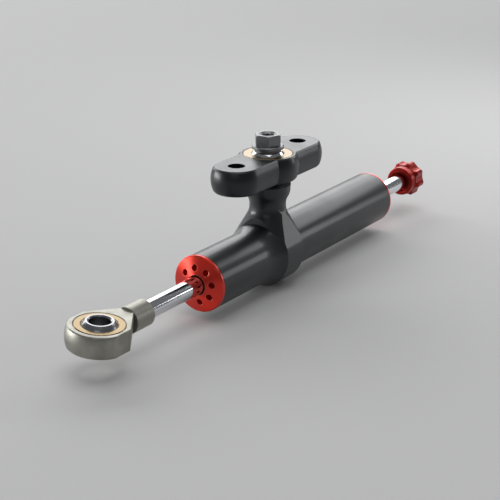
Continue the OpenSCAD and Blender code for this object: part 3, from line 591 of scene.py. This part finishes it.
def bearing_steel(name, chip, smoothest, roughest):
    finish, tree, place = start_finish(name)
    haze = add(tree, "ShaderNodeTexNoise", inputs={"Vector": place, "Scale": 1 / haze_width, "Detail": 2.0})
    gloss = add(tree, "ShaderNodeMapRange", inputs={
        "Value": haze.outputs["Fac"], **noise_range, "To Min": smoothest, "To Max": roughest})
    edges = add(tree, "ShaderNodeBevel", {"samples": 4}, {"Radius": edge_break / 2})
    shader = add(tree, "ShaderNodeBsdfPrincipled", inputs={
        "Base Color": linear(chip), "Metallic": 1.0, "Roughness": gloss.outputs["Result"],
        "Normal": edges.outputs["Normal"]})
    end_finish(tree, shader)
    return finish


put_on(bearing_steel("lapped_bearing_steel", "#c9cccf", smoothest=0.06, roughest=0.12), "mount_ball")
put_on(bearing_steel("ground_bearing_steel", "#989a9c", smoothest=0.22, roughest=0.3), "eye_ball")

# %% [markdown]
# ## Dark zinc-nickel plate
# The bolt, its washer and the small hidden steel pieces are plated in dark grey zinc-nickel, a dull metal
# with a fine crystalline mottle. Voronoi cells could draw the crystals, but they are too small to tell
# apart, so a noise varies the grey and the gloss together.

# %% Dark zinc-nickel plate
def zinc_nickel():
    finish, tree, place = start_finish("dark_zinc_nickel_plated_steel")
    # Crystals of about 0.05 mm are drawn as a mottle of 0.8 mm
    mottle_width = 0.8 * mm
    mottle = add(tree, "ShaderNodeTexNoise", inputs={
        "Vector": place, "Scale": 1 / mottle_width, "Detail": 4.0})
    plate = add(tree, "ShaderNodeMix", {"data_type": "RGBA"}, {
        "Factor": mottle.outputs["Fac"], "A": linear("#67686a"), "B": linear("#8c8d8e")})
    gloss = add(tree, "ShaderNodeMapRange", inputs={
        "Value": mottle.outputs["Fac"], **noise_range, "To Min": 0.32, "To Max": 0.46})
    edges = add(tree, "ShaderNodeBevel", {"samples": 6}, {"Radius": edge_break})
    shader = add(tree, "ShaderNodeBsdfPrincipled", inputs={
        "Base Color": plate.outputs["Result"], "Metallic": 1.0, "Roughness": gloss.outputs["Result"],
        "Normal": edges.outputs["Normal"]})
    end_finish(tree, shader)
    return finish


put_on(zinc_nickel(), "mount_bolt", "mount_washer", "gland_clips", "piston_clips", "adjuster_needle",
       "knob_screw", "detent_plunger")

# %% [markdown]
# ## Rubber, filled polymer and bare aluminium
# The wipers and rings are black nitrile rubber, the seals and the piston's ring a filled polymer, and the
# piston is bare turned aluminium. Most of them lie inside the tube and could be left plain, but the lip
# of each wiper shows round the rod, and whoever opens the tube sees the rest. Rubber and polymer are
# dull, with specks of filler; the piston has the bright bands of a lathe.

# %% Rubber and filled polymer
def soft_finish(name, dark, light, speck_mm, roughness):
    finish, tree, place = start_finish(name)
    specks = add(tree, "ShaderNodeTexNoise", inputs={
        "Vector": place, "Scale": 1 / (speck_mm * mm), "Detail": 3.0})
    tint = add(tree, "ShaderNodeMix", {"data_type": "RGBA"}, {
        "Factor": specks.outputs["Fac"], "A": linear(dark), "B": linear(light)})
    relief = add(tree, "ShaderNodeBump", inputs={
        "Height": specks.outputs["Fac"], "Strength": 0.15, "Distance": 0.05 * mm})
    shader = add(tree, "ShaderNodeBsdfPrincipled", inputs={
        "Base Color": tint.outputs["Result"], "Roughness": roughness, "Normal": relief.outputs["Normal"]})
    end_finish(tree, shader)
    return finish


# Filler of about 0.05 mm is drawn as larger specks
nitrile = soft_finish("black_nitrile_rubber", dark="#0e0e0e", light="#1c1c1c", speck_mm=0.6, roughness=0.55)
polymer = soft_finish("filled_polymer", dark="#cfc6ae", light="#ece6d8", speck_mm=0.8, roughness=0.5)
put_on(nitrile, "front_wiper", "rear_wiper", "front_cap_ring", "rear_cap_ring", "needle_ring")
put_on(polymer, "front_rod_seal", "rear_rod_seal", "piston_ring")

# %% Bare aluminium
def wave_scale(spacing):
    """A band of Blender's wave texture repeats every 2 pi / 20 units at a scale of 1."""
    return 2 * pi / 20 / spacing


def bare_aluminium():
    finish, tree, place = start_finish("bare_turned_aluminium")
    # Lathe lines 0.1 mm apart are drawn 0.5 mm apart
    lines = add(tree, "ShaderNodeTexWave", {"wave_type": "BANDS", "bands_direction": "X"}, {
        "Vector": place, "Scale": wave_scale(0.5 * mm)})
    gloss = add(tree, "ShaderNodeMapRange", inputs={
        "Value": lines.outputs["Fac"], "To Min": 0.25, "To Max": 0.4})
    shader = add(tree, "ShaderNodeBsdfPrincipled", inputs={
        "Base Color": linear("#c9cacc"), "Metallic": 1.0, "Roughness": gloss.outputs["Result"]})
    end_finish(tree, shader)
    return finish


put_on(bare_aluminium(), "piston")

# %% [markdown]
# ## Studio
# The damper lies on a plain pale floor. A glossy black thing is drawn by what it mirrors. A picture of a
# room could light it, but panels can be placed where each face looks. A large softbox stands behind, low
# enough for the flat tops and the upper side of the tube to mirror it into the camera. A small strip
# close behind the tube, on the right, draws a narrow band along its upper side, and a strip further off
# on the right draws one lower down. A card on the left lights the red cap and the side of the eye, and
# weak panels in front and overhead fill the rest.

# %% Floor
floor_gap = 0.5 * mm
floor_height = cad_box[0][2] - floor_gap
floor_half = 3.0


def pale_floor():
    finish, tree, _ = start_finish("pale_floor")
    shader = add(tree, "ShaderNodeBsdfPrincipled", inputs={
        "Base Color": linear("#cdcdcd"), "Roughness": 0.9})
    end_finish(tree, shader)
    return finish


floor_mesh = bpy.data.meshes.new("floor")
sides = [(-1, -1), (1, -1), (1, 1), (-1, 1)]
corners = [(x * floor_half, y * floor_half, floor_height) for x, y in sides]
floor_mesh.from_pydata(corners, [], [(0, 1, 2, 3)])
floor_mesh.materials.append(pale_floor())
floor = bpy.data.objects.new("floor", floor_mesh)
bpy.context.scene.collection.objects.link(floor)
print("floor at", round(floor_height / mm, 1), "mm")

# %% Panels of light
def soft_panel(name, azimuth, elevation, distance, width, height, brightness):
    """A panel that faces the damper, in degrees and metres. Seen directly, a brightness of 1 is white."""
    azimuth, elevation = radians(azimuth), radians(elevation)
    aim = Vector((cos(elevation) * cos(azimuth), cos(elevation) * sin(azimuth), sin(elevation)))
    panel = bpy.data.lights.new(name, "AREA")
    panel.shape = "RECTANGLE"
    panel.size = width
    panel.size_y = height
    panel.energy = brightness * pi * width * height
    hung = bpy.data.objects.new(name, panel)
    hung.location = Vector((0, 0, axis_height)) + aim * distance
    hung.rotation_euler = (-aim).to_track_quat("-Z", "Y").to_euler()
    bpy.context.scene.collection.objects.link(hung)


soft_panel("rear_softbox", azimuth=50, elevation=27, distance=4.0, width=5.2, height=2.5, brightness=2.9)
soft_panel(
    "near_strip", azimuth=-8.5, elevation=31.2, distance=0.53, width=0.33, height=0.12, brightness=3.6)
soft_panel("side_strip", azimuth=-36, elevation=9, distance=2.5, width=0.35, height=0.6, brightness=5.0)
soft_panel("left_card", azimuth=116, elevation=5.5, distance=2.5, width=1.6, height=0.5, brightness=13.0)
soft_panel("front_fill", azimuth=205, elevation=30, distance=3.0, width=1.5, height=1.0, brightness=0.7)
soft_panel("overhead", azimuth=0, elevation=88, distance=2.2, width=1.8, height=1.8, brightness=1.5)
print(len(bpy.data.lights), "panels of light")

# %% Light of the room
world = bpy.data.worlds.new("pale_room")
bpy.context.scene.world = world
world.use_nodes = True
world.node_tree.nodes.clear()
walls = add(world.node_tree, "ShaderNodeBackground", inputs={"Color": linear("#e6e7ea"), "Strength": 0.2})
add(world.node_tree, "ShaderNodeOutputWorld", inputs={"Surface": walls.outputs["Background"]})
bpy.context.scene.view_settings.view_transform = "Standard"
print("room lit at", round(walls.inputs["Strength"].default_value, 2))
